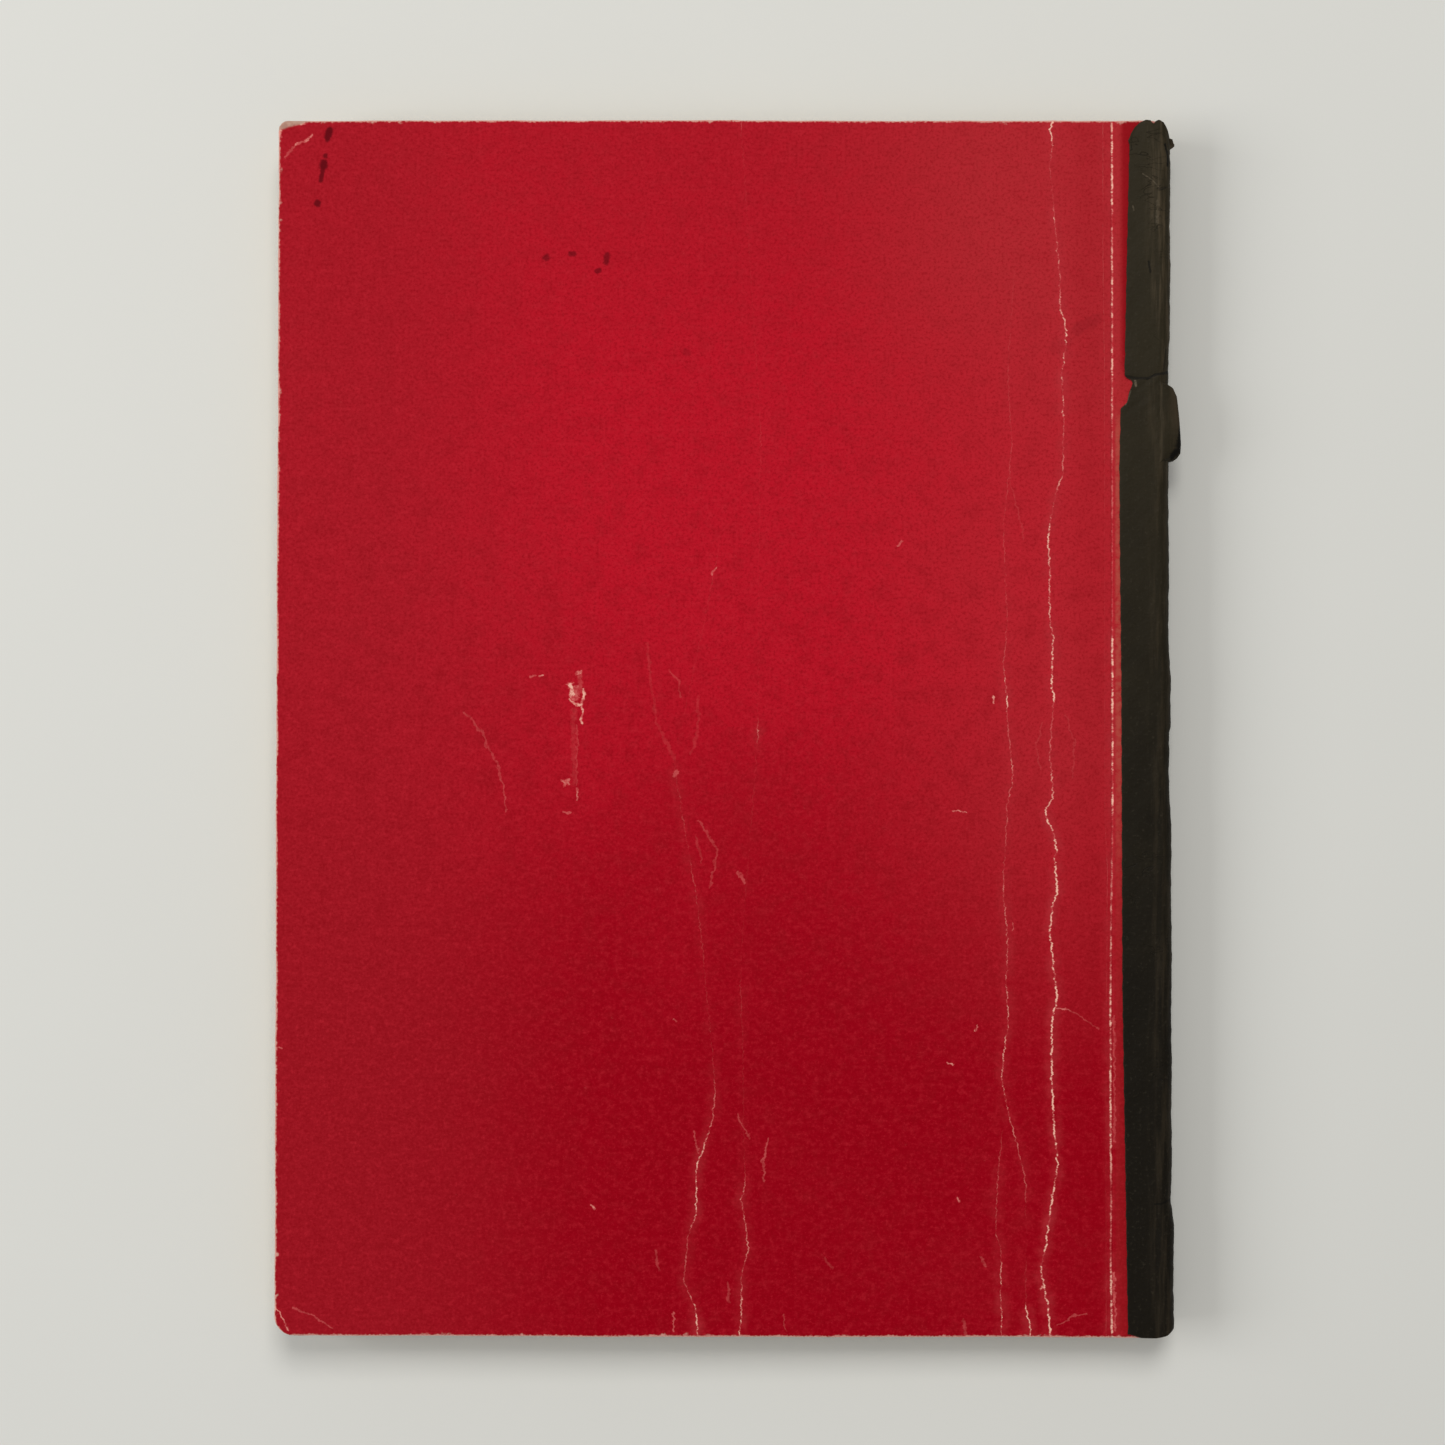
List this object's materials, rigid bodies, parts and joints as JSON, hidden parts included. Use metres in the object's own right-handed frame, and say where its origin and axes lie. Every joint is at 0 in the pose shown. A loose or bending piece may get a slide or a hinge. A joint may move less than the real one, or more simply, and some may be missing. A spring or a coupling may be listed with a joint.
{
  "type": "pocket notebook",
  "caption": "Small worn notebook with red card covers, ruled leaves and a black taped spine over side staples; covers and leaves turn at the binding.",
  "frame": {"origin": "centre of the underside of the closed notebook's box, as it lies on its front cover", "axes": "+X from the fore edge to the spine, +Y from the tail to the head, +Z from the front cover up to the back cover"},
  "size_m": [0.104, 0.1396, 0.0062],
  "materials": {
    "red_card": "matt coloured card, worn to its pale core along creases and edges",
    "page_paper": "uncoated, yellowed at the edges, ruled with plain feint lines",
    "black_tape": "gummed binding tape with a leather-like face, rubbed and torn",
    "staple_wire": "flat stitching wire, lightly tarnished"
  },
  "bodies": {
    "binding": {"spine_tape": "black_tape", "front_cover_bound_edge": "red_card", "back_cover_bound_edge": "red_card", "leaf_bound_edges": "page_paper", "head_staple": "staple_wire", "tail_staple": "staple_wire"},
    "second_stack": {"leaf_13": "page_paper", "leaf_14": "page_paper", "leaf_15": "page_paper", "leaf_16": "page_paper", "leaf_17": "page_paper", "leaf_18": "page_paper", "leaf_19": "page_paper", "leaf_20": "page_paper", "leaf_21": "page_paper", "leaf_22": "page_paper", "leaf_23": "page_paper", "leaf_24": "page_paper"},
    "first_stack": {"leaf_01": "page_paper", "leaf_02": "page_paper", "leaf_03": "page_paper", "leaf_04": "page_paper", "leaf_05": "page_paper", "leaf_06": "page_paper", "leaf_07": "page_paper", "leaf_08": "page_paper", "leaf_09": "page_paper", "leaf_10": "page_paper", "leaf_11": "page_paper", "leaf_12": "page_paper"},
    "front_cover": {"front_cover": "red_card"},
    "third_stack": {"leaf_25": "page_paper", "leaf_26": "page_paper", "leaf_27": "page_paper", "leaf_28": "page_paper", "leaf_29": "page_paper", "leaf_30": "page_paper", "leaf_31": "page_paper", "leaf_32": "page_paper", "leaf_33": "page_paper", "leaf_34": "page_paper", "leaf_35": "page_paper", "leaf_36": "page_paper"},
    "fourth_stack": {"leaf_37": "page_paper", "leaf_38": "page_paper", "leaf_39": "page_paper", "leaf_40": "page_paper", "leaf_41": "page_paper", "leaf_42": "page_paper", "leaf_43": "page_paper", "leaf_44": "page_paper", "leaf_45": "page_paper", "leaf_46": "page_paper", "leaf_47": "page_paper", "leaf_48": "page_paper"},
    "back_cover": {"back_cover": "red_card"}
  },
  "joints": [
    {"name": "third_stack_turn", "type": "hinge", "parent": "binding", "child": "third_stack", "pos_m": [0.04415, 0, 0.00615], "axis": [0, 1, 0], "range_deg": [0, 90]},
    {"name": "fourth_stack_turn", "type": "hinge", "parent": "third_stack", "child": "fourth_stack", "pos_m": [0.04415, 0, 0.00615], "axis": [0, 1, 0], "range_deg": [0, 90]},
    {"name": "back_cover_hinge", "type": "hinge", "parent": "fourth_stack", "child": "back_cover", "pos_m": [0.04415, 0, 0.00615], "axis": [0, -1, 0], "range_deg": [-179, 0]},
    {"name": "second_stack_turn", "type": "hinge", "parent": "binding", "child": "second_stack", "pos_m": [0.04415, 0, 0.00006], "axis": [0, -1, 0], "range_deg": [0, 90]},
    {"name": "first_stack_turn", "type": "hinge", "parent": "second_stack", "child": "first_stack", "pos_m": [0.04415, 0, 0.00006], "axis": [0, -1, 0], "range_deg": [0, 90]},
    {"name": "front_cover_hinge", "type": "hinge", "parent": "first_stack", "child": "front_cover", "pos_m": [0.04415, 0, 0.00006], "axis": [0, 1, 0], "range_deg": [-179, 0]}
  ]
}
